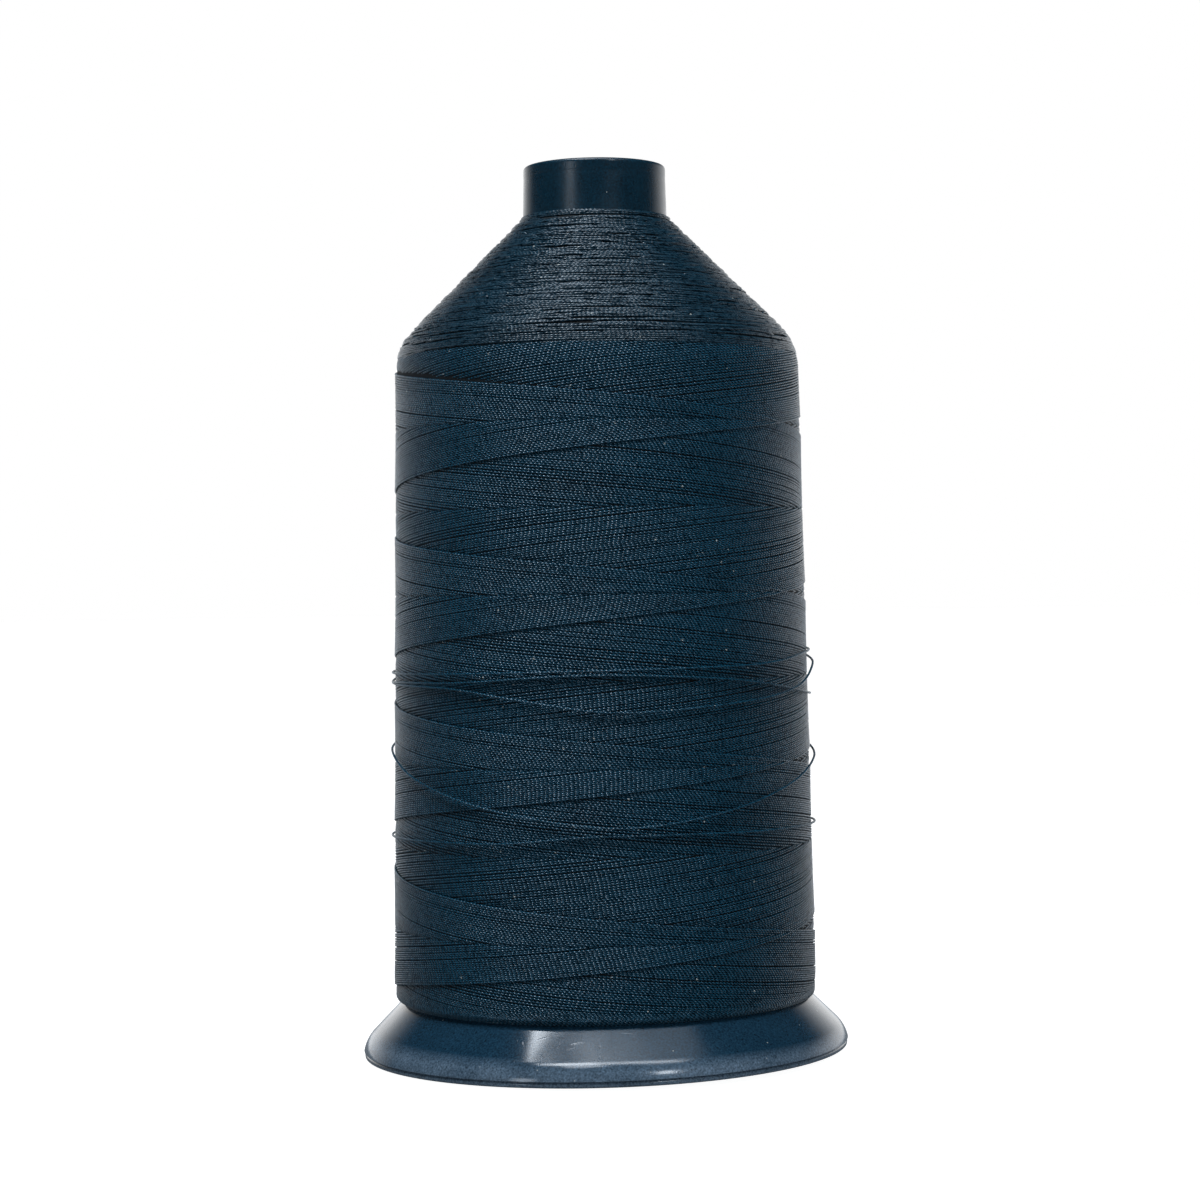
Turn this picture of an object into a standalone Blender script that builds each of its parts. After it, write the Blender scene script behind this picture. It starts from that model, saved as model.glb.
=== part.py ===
"""Large spool of heavy bonded sewing thread.

A tapered, hollow moulded barrel stands on a flared moulded foot, and one long thread is wound on it
as a package with a conical top. A few outer turns of the thread have worked loose.

Metres, +Z up. The origin is the centre of the foot's underside, on the surface the spool stands on,
and +Z runs up the spool's axis. The front is -Y.
"""
import math

import bmesh
import bpy

MM = 0.001

# Overall size
SPOOL_HEIGHT = 182.0 * MM
FOOT_RADIUS = 50.0 * MM
WALL = 1.8 * MM
GAP = 0.35 * MM

# Foot: a straight cone whose surface keeps radius + height constant, ending in a rolled rim
FOOT_CONE_SUM = 52.7 * MM
FOOT_ROLL_RADIUS = 4.8 * MM
FOOT_SEAT_HEIGHT = 31.0 * MM
RIM_LIP_RADIUS = 49.45 * MM
RIM_LIP_HEIGHT = 0.9 * MM
RIM_GROOVE_DEPTH = 0.45 * MM
RIM_GROOVE_HEIGHT = 0.35 * MM
RIM_FLAT_INNER_RADIUS = 47.0 * MM
SPIGOT_RADIUS = 15.9 * MM
SPIGOT_HEIGHT = 46.0 * MM
SPIGOT_WALL = 1.7 * MM
SNAP_HEIGHT = 39.5 * MM
SNAP_RISE = 0.5 * MM
SNAP_HALF_LENGTH = 1.2 * MM

# Barrel: a drafted tube whose bare upper end is the collar
BARREL_TOP_RADIUS = 14.6 * MM
BARREL_DRAFT = 0.0243
BARREL_BOTTOM = FOOT_SEAT_HEIGHT + GAP
SOCKET_RADIUS = 16.3 * MM
SOCKET_TOP = SPIGOT_HEIGHT + 1.0 * MM
RIM_BEAD = 0.15 * MM
RIM_BEAD_LENGTH = 1.6 * MM
RIM_ROUNDING = 0.7 * MM

# Thread winding: a slightly tapered body under a cone whose radius + height is constant as well
WINDING_CONE_SUM = 186.3 * MM
WINDING_TOP_RADIUS = 15.7 * MM
SHOULDER_RADIUS = 41.2 * MM
SHOULDER_ROUNDING = 10.0 * MM
BOTTOM_RADIUS = 43.15 * MM
BOTTOM_ROUNDING = 0.9 * MM

# Loose turns of the thread
THREAD_RADIUS = 0.23 * MM
LIFT_NEAR = THREAD_RADIUS + GAP
LIFT_FAR = LIFT_NEAR + 2 * THREAD_RADIUS + GAP

RING_STEPS = 64
BARREL_STEPS = 48
WRAP_STEP_DEGREES = 6.0
WRAP_SIDES = 6

# Each loose turn: (degrees round the axis from the front towards +X, height in mm) along its run
UPPER_WRAP = [(-172, 79.6), (-77, 78.4), (0, 79.2), (45, 79.7), (79, 81.8), (172, 83.4)]
MIDDLE_WRAP = [(-168, 74.6), (-77, 76.6), (-45, 76.8), (-5, 78.4), (30, 77.4), (83, 73.1), (168, 72.2)]
LOWER_WRAP = [(-174, 44.2), (-81, 45.2), (-30, 45.8), (0, 47.4), (40, 47.1), (83, 46.9), (174, 45.8)]
SMALL_LOOP = [(-176, 82.6), (-79, 76.2), (-47, 75.9), (-24, 73.8), (5, 71.0),
              (38, 72.4), (66, 75.0), (86, 79.5), (176, 85.2)]
LARGE_LOOP = [(-176, 67.2), (-86, 62.8), (-60, 57.7), (-27, 51.9), (5, 48.9),
              (35, 51.6), (60, 55.8), (84, 60.4), (176, 68.4)]


def clear_scene():
    for obj in list(bpy.data.objects):
        bpy.data.objects.remove(obj, do_unlink=True)


def make_material(name, color, roughness, metallic=0.0, coat=0.0):
    material = bpy.data.materials.new(name)
    material.use_nodes = True
    shader = material.node_tree.nodes["Principled BSDF"]
    shader.inputs["Base Color"].default_value = (*color, 1.0)
    shader.inputs["Roughness"].default_value = roughness
    shader.inputs["Metallic"].default_value = metallic
    shader.inputs["Coat Weight"].default_value = coat
    material.diffuse_color = (*color, 1.0)
    return material


def arc(center, radius, start_degrees, end_degrees, steps):
    """Points of an arc in the (radius, height) plane, ends included."""
    points = []
    for index in range(steps + 1):
        angle = math.radians(start_degrees + (end_degrees - start_degrees) * index / steps)
        points.append((center[0] + radius * math.cos(angle), center[1] + radius * math.sin(angle)))
    return points


def turned_solid(name, outline, steps, material):
    """Spin a closed outline of (radius, height) points round the Z axis into one closed ring."""
    bm = bmesh.new()
    verts = [bm.verts.new((radius, 0.0, height)) for radius, height in outline]
    for index, vert in enumerate(verts):
        bm.edges.new((vert, verts[(index + 1) % len(verts)]))
    bmesh.ops.spin(
        bm,
        geom=bm.verts[:] + bm.edges[:],
        cent=(0.0, 0.0, 0.0),
        axis=(0.0, 0.0, 1.0),
        angle=math.tau,
        steps=steps,
        use_merge=True,
    )
    bmesh.ops.remove_doubles(bm, verts=bm.verts[:], dist=0.001 * MM)
    bmesh.ops.recalc_face_normals(bm, faces=bm.faces[:])
    mesh = bpy.data.meshes.new(name)
    bm.to_mesh(mesh)
    bm.free()
    mesh.shade_smooth()
    mesh.set_sharp_from_angle(angle=math.radians(40))
    return place(name, mesh, material)


def place(name, data, material):
    """Link a new object that stands on the spool's axis."""
    obj = bpy.data.objects.new(name, data)
    data.materials.append(material)
    bpy.context.collection.objects.link(obj)
    obj.parent = bpy.data.objects["spool_axis"]
    return obj


def top_corner(cone_sum, radius, rounding):
    """Centre of the rounding that joins a cone above to a wall of this radius below."""
    center_radius = radius - rounding
    return center_radius, cone_sum - math.sqrt(2) * rounding - center_radius


def bottom_corner(cone_sum, radius, rounding):
    """Centre of the rounding that joins a wall of this radius to a cone underneath it."""
    center_radius = radius - rounding
    return center_radius, cone_sum + math.sqrt(2) * rounding - center_radius


def barrel_radius(height):
    """Outer radius of the drafted barrel."""
    return BARREL_TOP_RADIUS + (SPOOL_HEIGHT - height) * BARREL_DRAFT


def body_radius(height):
    """Outer radius of the winding below its shoulder."""
    share = (SHOULDER_CENTER[1] - height) / (SHOULDER_CENTER[1] - BOTTOM_CENTER[1])
    return SHOULDER_RADIUS + share * (BOTTOM_RADIUS - SHOULDER_RADIUS)


SHOULDER_CENTER = top_corner(WINDING_CONE_SUM, SHOULDER_RADIUS, SHOULDER_ROUNDING)
WINDING_SEAT_SUM = FOOT_CONE_SUM + math.sqrt(2) * GAP
BOTTOM_CENTER = bottom_corner(WINDING_SEAT_SUM, BOTTOM_RADIUS, BOTTOM_ROUNDING)


def snap_points(radius, rise):
    """A low rounded ridge on the spigot, or its matching groove, listed upwards."""
    half = SNAP_HALF_LENGTH + (GAP if radius > SPIGOT_RADIUS else 0.0)
    return [
        (radius, SNAP_HEIGHT - half),
        (radius + rise, SNAP_HEIGHT - 0.3 * half),
        (radius + rise, SNAP_HEIGHT + 0.3 * half),
        (radius, SNAP_HEIGHT + half),
    ]


def barrel_outline():
    """Down the outside of the barrel, then up its bore."""
    bead_bottom = SPOOL_HEIGHT - RIM_ROUNDING - RIM_BEAD_LENGTH
    bead_radius = barrel_radius(SPOOL_HEIGHT) + RIM_BEAD
    bore_top = barrel_radius(SPOOL_HEIGHT) - WALL
    bore_bottom = barrel_radius(SOCKET_TOP) - WALL
    outer_corner = (bead_radius - RIM_ROUNDING, SPOOL_HEIGHT - RIM_ROUNDING)
    inner_edge = 0.4 * MM
    outline = arc(outer_corner, RIM_ROUNDING, 90, 0, 4)
    outline.append((bead_radius, bead_bottom + RIM_BEAD))
    outline.append((barrel_radius(bead_bottom), bead_bottom - RIM_BEAD))
    outline.append((barrel_radius(BARREL_BOTTOM), BARREL_BOTTOM))
    outline.append((SOCKET_RADIUS, BARREL_BOTTOM))
    outline += snap_points(SOCKET_RADIUS, SNAP_RISE)
    outline.append((SOCKET_RADIUS, SOCKET_TOP))
    outline.append((bore_bottom, SOCKET_TOP))
    outline.append((bore_top, SPOOL_HEIGHT - inner_edge))
    outline.append((bore_top + inner_edge, SPOOL_HEIGHT))
    return outline


def foot_outline():
    """Down the spigot and the cone, round the rolled rim, then back up the hollow underside."""
    roll_center = top_corner(FOOT_CONE_SUM, FOOT_RADIUS, FOOT_ROLL_RADIUS)
    inner_roll = FOOT_ROLL_RADIUS - WALL
    inner_sum = FOOT_CONE_SUM - math.sqrt(2) * WALL
    bore = SPIGOT_RADIUS - SPIGOT_WALL
    web_bottom = FOOT_SEAT_HEIGHT - WALL
    groove_radius = RIM_LIP_RADIUS - RIM_GROOVE_DEPTH
    edge = 0.25 * MM
    outline = [(SPIGOT_RADIUS - edge, SPIGOT_HEIGHT), (SPIGOT_RADIUS, SPIGOT_HEIGHT - edge)]
    outline += reversed(snap_points(SPIGOT_RADIUS, SNAP_RISE))
    outline.append((SPIGOT_RADIUS, FOOT_SEAT_HEIGHT))
    outline.append((FOOT_CONE_SUM - FOOT_SEAT_HEIGHT, FOOT_SEAT_HEIGHT))
    outline += arc(roll_center, FOOT_ROLL_RADIUS, 45, 8, 5)
    outline.append((groove_radius, RIM_LIP_HEIGHT + RIM_GROOVE_HEIGHT))
    outline.append((groove_radius, RIM_LIP_HEIGHT))
    outline.append((RIM_LIP_RADIUS, RIM_LIP_HEIGHT - edge))
    outline.append((RIM_LIP_RADIUS, edge))
    outline.append((RIM_LIP_RADIUS - edge, 0.0))
    outline.append((RIM_FLAT_INNER_RADIUS, 0.0))
    outline += arc(roll_center, inner_roll, 10, 45, 3)
    outline.append((inner_sum - web_bottom, web_bottom))
    outline.append((bore, web_bottom))
    outline.append((bore, SPIGOT_HEIGHT))
    return outline


def winding_outline():
    """Down the cone and the body, then inwards over the foot and up along the barrel."""
    top = WINDING_CONE_SUM - WINDING_TOP_RADIUS
    inner_bottom = FOOT_SEAT_HEIGHT + GAP
    outline = [(WINDING_TOP_RADIUS, top)]
    outline += arc(SHOULDER_CENTER, SHOULDER_ROUNDING, 45, 0, 5)
    outline += arc(BOTTOM_CENTER, BOTTOM_ROUNDING, 0, -135, 5)
    outline.append((WINDING_SEAT_SUM - inner_bottom, inner_bottom))
    outline.append((barrel_radius(inner_bottom) + GAP, inner_bottom))
    outline.append((barrel_radius(top) + GAP, top))
    return outline


def smooth_height(knots, degrees):
    """Height in mm on a smooth curve through the knots, with no overshoot between them."""
    if degrees <= knots[0][0]:
        return knots[0][1]
    for (start, low), (end, high) in zip(knots, knots[1:]):
        if degrees <= end:
            break
    index = knots.index((start, low))
    slope_in = knot_slope(knots, index)
    slope_out = knot_slope(knots, index + 1)
    span = end - start
    share = min(1.0, (degrees - start) / span)
    square, cube = share**2, share**3
    return (
        (2 * cube - 3 * square + 1) * low
        + (cube - 2 * square + share) * span * slope_in
        + (3 * square - 2 * cube) * high
        + (cube - square) * span * slope_out
    )


def knot_slope(knots, index):
    """Slope at a knot: the mean slope of its neighbours, and flat where they turn."""
    if index == 0 or index == len(knots) - 1:
        return 0.0
    before = (knots[index][1] - knots[index - 1][1]) / (knots[index][0] - knots[index - 1][0])
    after = (knots[index + 1][1] - knots[index][1]) / (knots[index + 1][0] - knots[index][0])
    if before * after <= 0:
        return 0.0
    return 2 * before * after / (before + after)


def loose_turn(name, knots, lift, material):
    """A round cord with closed ends that runs once round the winding, lifted off its surface."""
    first, last = knots[0][0], knots[-1][0]
    count = round((last - first) / WRAP_STEP_DEGREES)
    curve = bpy.data.curves.new(name, "CURVE")
    curve.dimensions = "3D"
    curve.bevel_depth = THREAD_RADIUS
    curve.bevel_resolution = (WRAP_SIDES - 4) // 2
    curve.use_fill_caps = True
    spline = curve.splines.new("POLY")
    spline.points.add(count)
    for index in range(count + 1):
        degrees = first + (last - first) * index / count
        height = smooth_height(knots, degrees) * MM
        radius = body_radius(height) + lift
        angle = math.radians(degrees)
        spline.points[index].co = (radius * math.sin(angle), -radius * math.cos(angle), height, 1.0)
    return place(name, curve, material)


def build():
    clear_scene()
    axis = bpy.data.objects.new("spool_axis", None)
    bpy.context.collection.objects.link(axis)

    barrel_plastic = make_material("barrel_plastic", (0.006, 0.014, 0.020), 0.42)
    foot_plastic = make_material("foot_plastic", (0.007, 0.014, 0.019), 0.16, coat=0.3)
    thread = make_material("bonded_thread", (0.009, 0.022, 0.031), 0.55)

    turned_solid("spool_barrel", barrel_outline(), BARREL_STEPS, barrel_plastic)
    turned_solid("spool_foot", foot_outline(), RING_STEPS, foot_plastic)
    turned_solid("thread_winding", winding_outline(), RING_STEPS, thread)

    loose_turn("loose_wrap_upper", UPPER_WRAP, LIFT_NEAR, thread)
    loose_turn("loose_wrap_middle", MIDDLE_WRAP, LIFT_NEAR, thread)
    loose_turn("loose_wrap_lower", LOWER_WRAP, LIFT_NEAR, thread)
    loose_turn("slack_loop_small", SMALL_LOOP, LIFT_FAR, thread)
    loose_turn("slack_loop_large", LARGE_LOOP, LIFT_FAR, thread)


build()
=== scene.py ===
"""Looks of the spool of thread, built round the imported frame.

The wound thread is real strands. On the body two families of turns cross, one climbing to the right
and one falling to the right, and at each place the newer family lies on top. The cone, the lower edge
and the few turns that ride up the collar are wound almost level. A few loose turns lie over the body.
The foot leans a little against the spool, as it does in the photo.

Metres, in the frame of the CAD: +Z up the spool's axis, the front is -Y. A path is a distance along
a turned piece's outline, from its lower end up.
"""
import math

import bmesh
import bpy
import numpy as np
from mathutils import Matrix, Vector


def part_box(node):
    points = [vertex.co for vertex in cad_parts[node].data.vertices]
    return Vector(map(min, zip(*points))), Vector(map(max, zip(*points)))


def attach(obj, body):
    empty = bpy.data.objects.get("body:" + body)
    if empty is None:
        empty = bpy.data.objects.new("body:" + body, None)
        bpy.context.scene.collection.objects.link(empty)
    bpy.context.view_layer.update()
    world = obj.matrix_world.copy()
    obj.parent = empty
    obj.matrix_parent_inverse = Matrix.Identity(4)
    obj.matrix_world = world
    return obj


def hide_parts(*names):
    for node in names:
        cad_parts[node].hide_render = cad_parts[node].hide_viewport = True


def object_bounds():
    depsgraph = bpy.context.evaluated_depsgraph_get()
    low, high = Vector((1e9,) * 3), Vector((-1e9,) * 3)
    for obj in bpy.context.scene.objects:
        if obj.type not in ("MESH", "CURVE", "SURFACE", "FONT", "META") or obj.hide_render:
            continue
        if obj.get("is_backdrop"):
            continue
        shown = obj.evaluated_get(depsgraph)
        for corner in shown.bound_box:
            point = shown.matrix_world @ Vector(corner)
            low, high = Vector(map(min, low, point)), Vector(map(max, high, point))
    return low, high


MM = 0.001
BODY = "root"
THREAD_SLOT = "bonded_thread"
SEED = 36

# Thread. A strand's section has more corners on its outer side, which is the side that shows.
THREAD_RADIUS = 0.222 * MM
THREAD_PITCH = 0.424 * MM
STRAND_TURNS = np.radians([-90, -54, -18, 18, 54, 90, 142, 218])
ROUND_TURNS = np.radians(np.arange(16) * 22.5)
PLIES = 3
CROWN_PITCH = 0.85 * MM
TWIST_STEP = 0.29 * MM
TWIST_SPREAD = 0.15 * MM
PLY_MEAN = 0.64
TWIST_LAYER = "strand"
BAKE_LAYER = "OFBake"
BAKE_FILL_ALONG = 0.998
BAKE_FILL_ACROSS = 0.94

# Winding of the body. The phases are heights at the front where each family's newest turn passes.
# Path and height are matched at PHASE_HEIGHT. The gap sizes and the close pitch are in pitches.
LEAD = 33.8 * MM
FRONT_FLATTENING = 1.0 * MM
PHASE_HEIGHT = 60 * MM
RISING_PHASE = 21.5 * MM
FALLING_PHASE = 31.2 * MM
STEPS_PER_TURN = 120
FAMILY_PIECES = 3
BODY_MARGIN = 3.0 * MM
BODY_LOW = -2.0 * MM
GAP_CHANCE_NEW = 0.08
GAP_CHANCE_GROWTH = 0.80
GAP_SIZES = (0.14, 0.58)
CLOSE_PITCH = 0.97
EVEN_REACH = 16 * MM
EVEN_FADE = 7 * MM
TOP_FADE_REACH = 2.1 * MM
TOP_FADE = 1.2 * MM
SIDE_WANDER = 0.03 * MM
LIFT_WANDER = 0.012 * MM

# How the strands of the body lie over and under each other
SINK_DEPTH = 0.46 * MM
SINK_WIDTH = 1.5 * MM
SUNK_REACH = 0.75 * SINK_WIDTH
NEWEST_LIFT = 0.13 * MM
NEWEST_REACH = 4.0 * MM
AGE_DROP = 0.08 * MM
TUCK_DEPTH = 0.32 * MM
TUCK_REACH = 0.8 * MM
UNDERLAP = 1.1 * MM
BODY_SWELL = 0.32 * MM
SWELL_RISE = 6.0 * MM
SWELL_FALL = 4.0 * MM
SWELL_END = 3.0 * MM
BED_DEPTH = 0.37 * MM
LOWEST_TURN = 1.0 * MM
LOWEST_BEND = 1.1 * MM

# Level turns of the cone, the shoulder, the collar and the lower edge
SHOULDER = 143.4 * MM
SHOULDER_TOP = 147.0 * MM
LEVEL_STEPS_PER_TURN = 200
LEVEL_PIECE_STEPS = 11000
ARC_SAMPLES = 60

# Loose turns. The ring gap of a CAD cord, the step and the smoothing are in degrees, LOOSE_NEAR in mm.
RING_GAP = 1.5
LOOSE_STEP = 0.33
LOOSE_SMOOTHING = 12
LOOSE_NEAR = 0.22
LOOSE_END_DEPTH = 1.2 * MM
LOOSE_END_DEGREES = 8.0
LOOSE_BAKE_STEPS = 260
LOOSE_PLIES = 0.30

# Moulded parts
WALL = 1.8 * MM
BARREL_DRAFT = 0.0243
BARREL_BORE = 16.3 * MM
BARREL_BORE_DEPTH = 15.65 * MM
COLLAR_BEAD = 0.06 * MM
COLLAR_RIM = 0.75 * MM
BARREL_GAP = 0.1 * MM
FOOT_SEAT_HEIGHT = 31.0 * MM
FOOT_CONE_LEVEL = 20.0 * MM
FOOT_ROLL = 7.2 * MM
FOOT_BORE = 14.2 * MM
FOOT_SPIGOT = 15.9 * MM
LIP_GROOVE_TOP = 1.28 * MM
FOOT_LEAN = math.radians(0.9)
FOOT_LIFT = 0.4 * MM

# Colours and gloss
# The thread's colour runs from THREAD_DARK, painted shade in the grooves between the plies, to its light
# colour, with painted glints on the crowns.
THREAD_DARK = (0.0008, 0.0060, 0.0120, 1.0)
THREAD_LIGHT = (0.0030, 0.0750, 0.1340, 1.0)
# Painted shade: the same thread, with a darker light colour for the cone and the turns that share its
# material, where more light from above falls.
CONE_LIGHT_PAINTED_SHADE = (0.0025, 0.0370, 0.0650, 1.0)
THREAD_GLOSS = 0.80
BODY_GLINT_SCALE = (1500.0, 1500.0, 1500.0)
CONE_GLINT_SCALE = (900.0, 900.0, 3400.0)
# Painted shade: dark colours for the thread under the top layer and for the cone's under-turns.
SHADE_DARK = (0.0008, 0.0020, 0.0032, 1.0)
SHADE_LIGHT = (0.004, 0.009, 0.013, 1.0)
FOOT_DARK = (0.0080, 0.0330, 0.0600, 1.0)
FOOT_LIGHT = (0.0110, 0.0410, 0.0720, 1.0)
FOOT_ROUGHNESS = (0.12, 0.22)
# Height below which the foot's colour gets a painted reflection of the floor
FOOT_REFLECTION_BELOW = 5.5 * MM
BARREL_DARK = (0.0022, 0.0230, 0.0420, 1.0)
BARREL_LIGHT = (0.0040, 0.0290, 0.0500, 1.0)
BARREL_ROUGHNESS = (0.24, 0.34)
# Pale blue-grey painted reflection of the bright floor on the foot's lower rim
FLOOR_REFLECTION_COLOR = (0.115, 0.170, 0.230, 1.0)
DUST_COLOR = (0.42, 0.45, 0.43, 1.0)
WHITE = (1.0, 1.0, 1.0, 1.0)

# Studio
FLOOR_RADIUS = 12.0
FLOOR_GLOW = (0.22, 0.24, 0.26, 1.0)
FAR_FLOOR_GAIN = 5.5
ROOM_GLOW = (0.020, 0.026, 0.030, 1.0)
BACK_WALL_GLOW = 1.55
BACK_WALL_TURN = math.radians(8)
FRONT_WALL_GLOW = 0.06
LAMP_TONE = (0.90, 0.97, 1.05)
CAMERA_PLACE = (0.0, -0.584, 0.0942)
CAMERA_LENS = 84.8
CAMERA_DIP = 0.148
CAMERA_ROLL = 0.80


def smooth(value):
    """Smooth step of an array, from 0 at 0 to 1 at 1."""
    value = np.clip(value, 0.0, 1.0)
    return value * value * (3.0 - 2.0 * value)


# ---------------------------------------------------------------- shapes read from the frame


class Outline:
    """The outside of a turned CAD node: radius, height and outward normal by distance along it."""

    def __init__(self, node, samples=1500):
        low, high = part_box(node)
        self.heights = np.linspace(low.z + 1e-6, high.z - 1e-6, samples)
        self.radii = outer_radii(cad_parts[node].data, self.heights)
        steps = np.hypot(np.diff(self.radii), np.diff(self.heights))
        self.path = np.concatenate([[0.0], np.cumsum(steps)])
        self.length = self.path[-1]
        window = np.ones(9) / 9.0
        along_r = np.convolve(np.gradient(self.radii, self.path), window, mode="same")
        along_z = np.convolve(np.gradient(self.heights, self.path), window, mode="same")
        size = np.hypot(along_r, along_z)
        self.normal_r = along_z / size
        self.normal_z = -along_r / size

    def at(self, path):
        """Radius, height and the normal's two parts at distances along the outline.

        Past either end the outline runs on in a straight line.
        """
        inside = np.clip(path, 0.0, self.length)
        beyond = path - inside
        normal_r = np.interp(inside, self.path, self.normal_r)
        normal_z = np.interp(inside, self.path, self.normal_z)
        radius = np.interp(inside, self.path, self.radii) - beyond * normal_z
        height = np.interp(inside, self.path, self.heights) + beyond * normal_r
        return radius, height, normal_r, normal_z

    def path_at_height(self, height):
        return np.interp(height, self.heights, self.path)


def mesh_points(mesh):
    points = np.empty(len(mesh.vertices) * 3)
    mesh.vertices.foreach_get("co", points)
    return points.reshape(-1, 3)


def outer_radii(mesh, heights):
    """Largest radius of a turned mesh at each height, from the edges that cross it."""
    points = mesh_points(mesh)
    ends = np.empty(len(mesh.edges) * 2, dtype=np.int64)
    mesh.edges.foreach_get("vertices", ends)
    first, second = points[ends[0::2]], points[ends[1::2]]
    rise = second[:, 2] - first[:, 2]
    slanted = np.abs(rise) > 1e-7
    first, second, rise = first[slanted], second[slanted], rise[slanted]
    radii = np.zeros(len(heights))
    for index, height in enumerate(heights):
        share = (height - first[:, 2]) / rise
        crossing = (share >= 0.0) & (share <= 1.0)
        share = share[crossing, None]
        places = first[crossing, :2] * (1.0 - share) + second[crossing, :2] * share
        radii[index] = np.hypot(places[:, 0], places[:, 1]).max()
    return radii


# ---------------------------------------------------------------- meshes


def mesh_object(name, points, face_groups, loop_uvs=None):
    """A smooth-shaded object from points and groups of faces that have the same number of corners."""
    mesh = bpy.data.meshes.new(name)
    corners = np.concatenate([faces.ravel() for faces in face_groups])
    sizes = np.concatenate([np.full(len(faces), faces.shape[1]) for faces in face_groups])
    starts = np.concatenate([[0], np.cumsum(sizes)[:-1]])
    mesh.vertices.add(len(points))
    mesh.vertices.foreach_set("co", np.ascontiguousarray(points, dtype=np.float32).ravel())
    mesh.loops.add(len(corners))
    mesh.loops.foreach_set("vertex_index", corners.astype(np.int32))
    mesh.polygons.add(len(sizes))
    mesh.polygons.foreach_set("loop_start", starts.astype(np.int32))
    for layer_name, values in (loop_uvs or {}).items():
        layer = mesh.uv_layers.new(name=layer_name)
        layer.data.foreach_set("uv", np.ascontiguousarray(values, dtype=np.float32).ravel())
    mesh.update(calc_edges=True)
    mesh.validate()
    mesh.shade_smooth()
    obj = bpy.data.objects.new(name, mesh)
    bpy.context.scene.collection.objects.link(obj)
    return obj


def add_piece(obj, slot, material, *replaced):
    """Give a piece its material and body, and hide the CAD nodes that it stands for. slot is not used."""
    obj.data.materials.clear()
    obj.data.materials.append(material)
    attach(obj, BODY)
    if replaced:
        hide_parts(*replaced)
    return obj


def turned_points(outline, steps):
    """Points and quads of a closed outline of (radius, height) spun round the Z axis."""
    outline = np.asarray(outline)
    count = len(outline)
    angles = np.arange(steps) * math.tau / steps
    points = np.empty((steps, count, 3))
    points[:, :, 0] = outline[None, :, 0] * np.cos(angles)[:, None]
    points[:, :, 1] = outline[None, :, 0] * np.sin(angles)[:, None]
    points[:, :, 2] = outline[None, :, 1]
    here = np.arange(steps)[:, None] * count + np.arange(count)[None, :]
    across = np.roll(here, -1, axis=1)
    around = np.roll(here, -1, axis=0)
    both = np.roll(around, -1, axis=1)
    quads = np.stack([here, across, both, around], axis=-1).reshape(-1, 4)
    return points.reshape(-1, 3), quads


def frame_of_path(angles, path, outline, lift):
    """Centres and directions of strands that lie on an outline, for arrays of angle and path."""
    radius, height, normal_r, normal_z = outline.at(path)
    radius = radius + normal_r * lift
    height = height + normal_z * lift
    sin, cos = np.sin(angles), np.cos(angles)
    centers = np.stack([radius * sin, -radius * cos, height], axis=-1)
    outward = np.stack([normal_r * sin, -normal_r * cos, normal_z], axis=-1)
    along = np.gradient(centers, axis=-2)
    along /= np.linalg.norm(along, axis=-1, keepdims=True)
    outward -= along * np.sum(along * outward, axis=-1, keepdims=True)
    outward /= np.linalg.norm(outward, axis=-1, keepdims=True)
    side = np.cross(along, outward)
    return centers, outward, side


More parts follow.
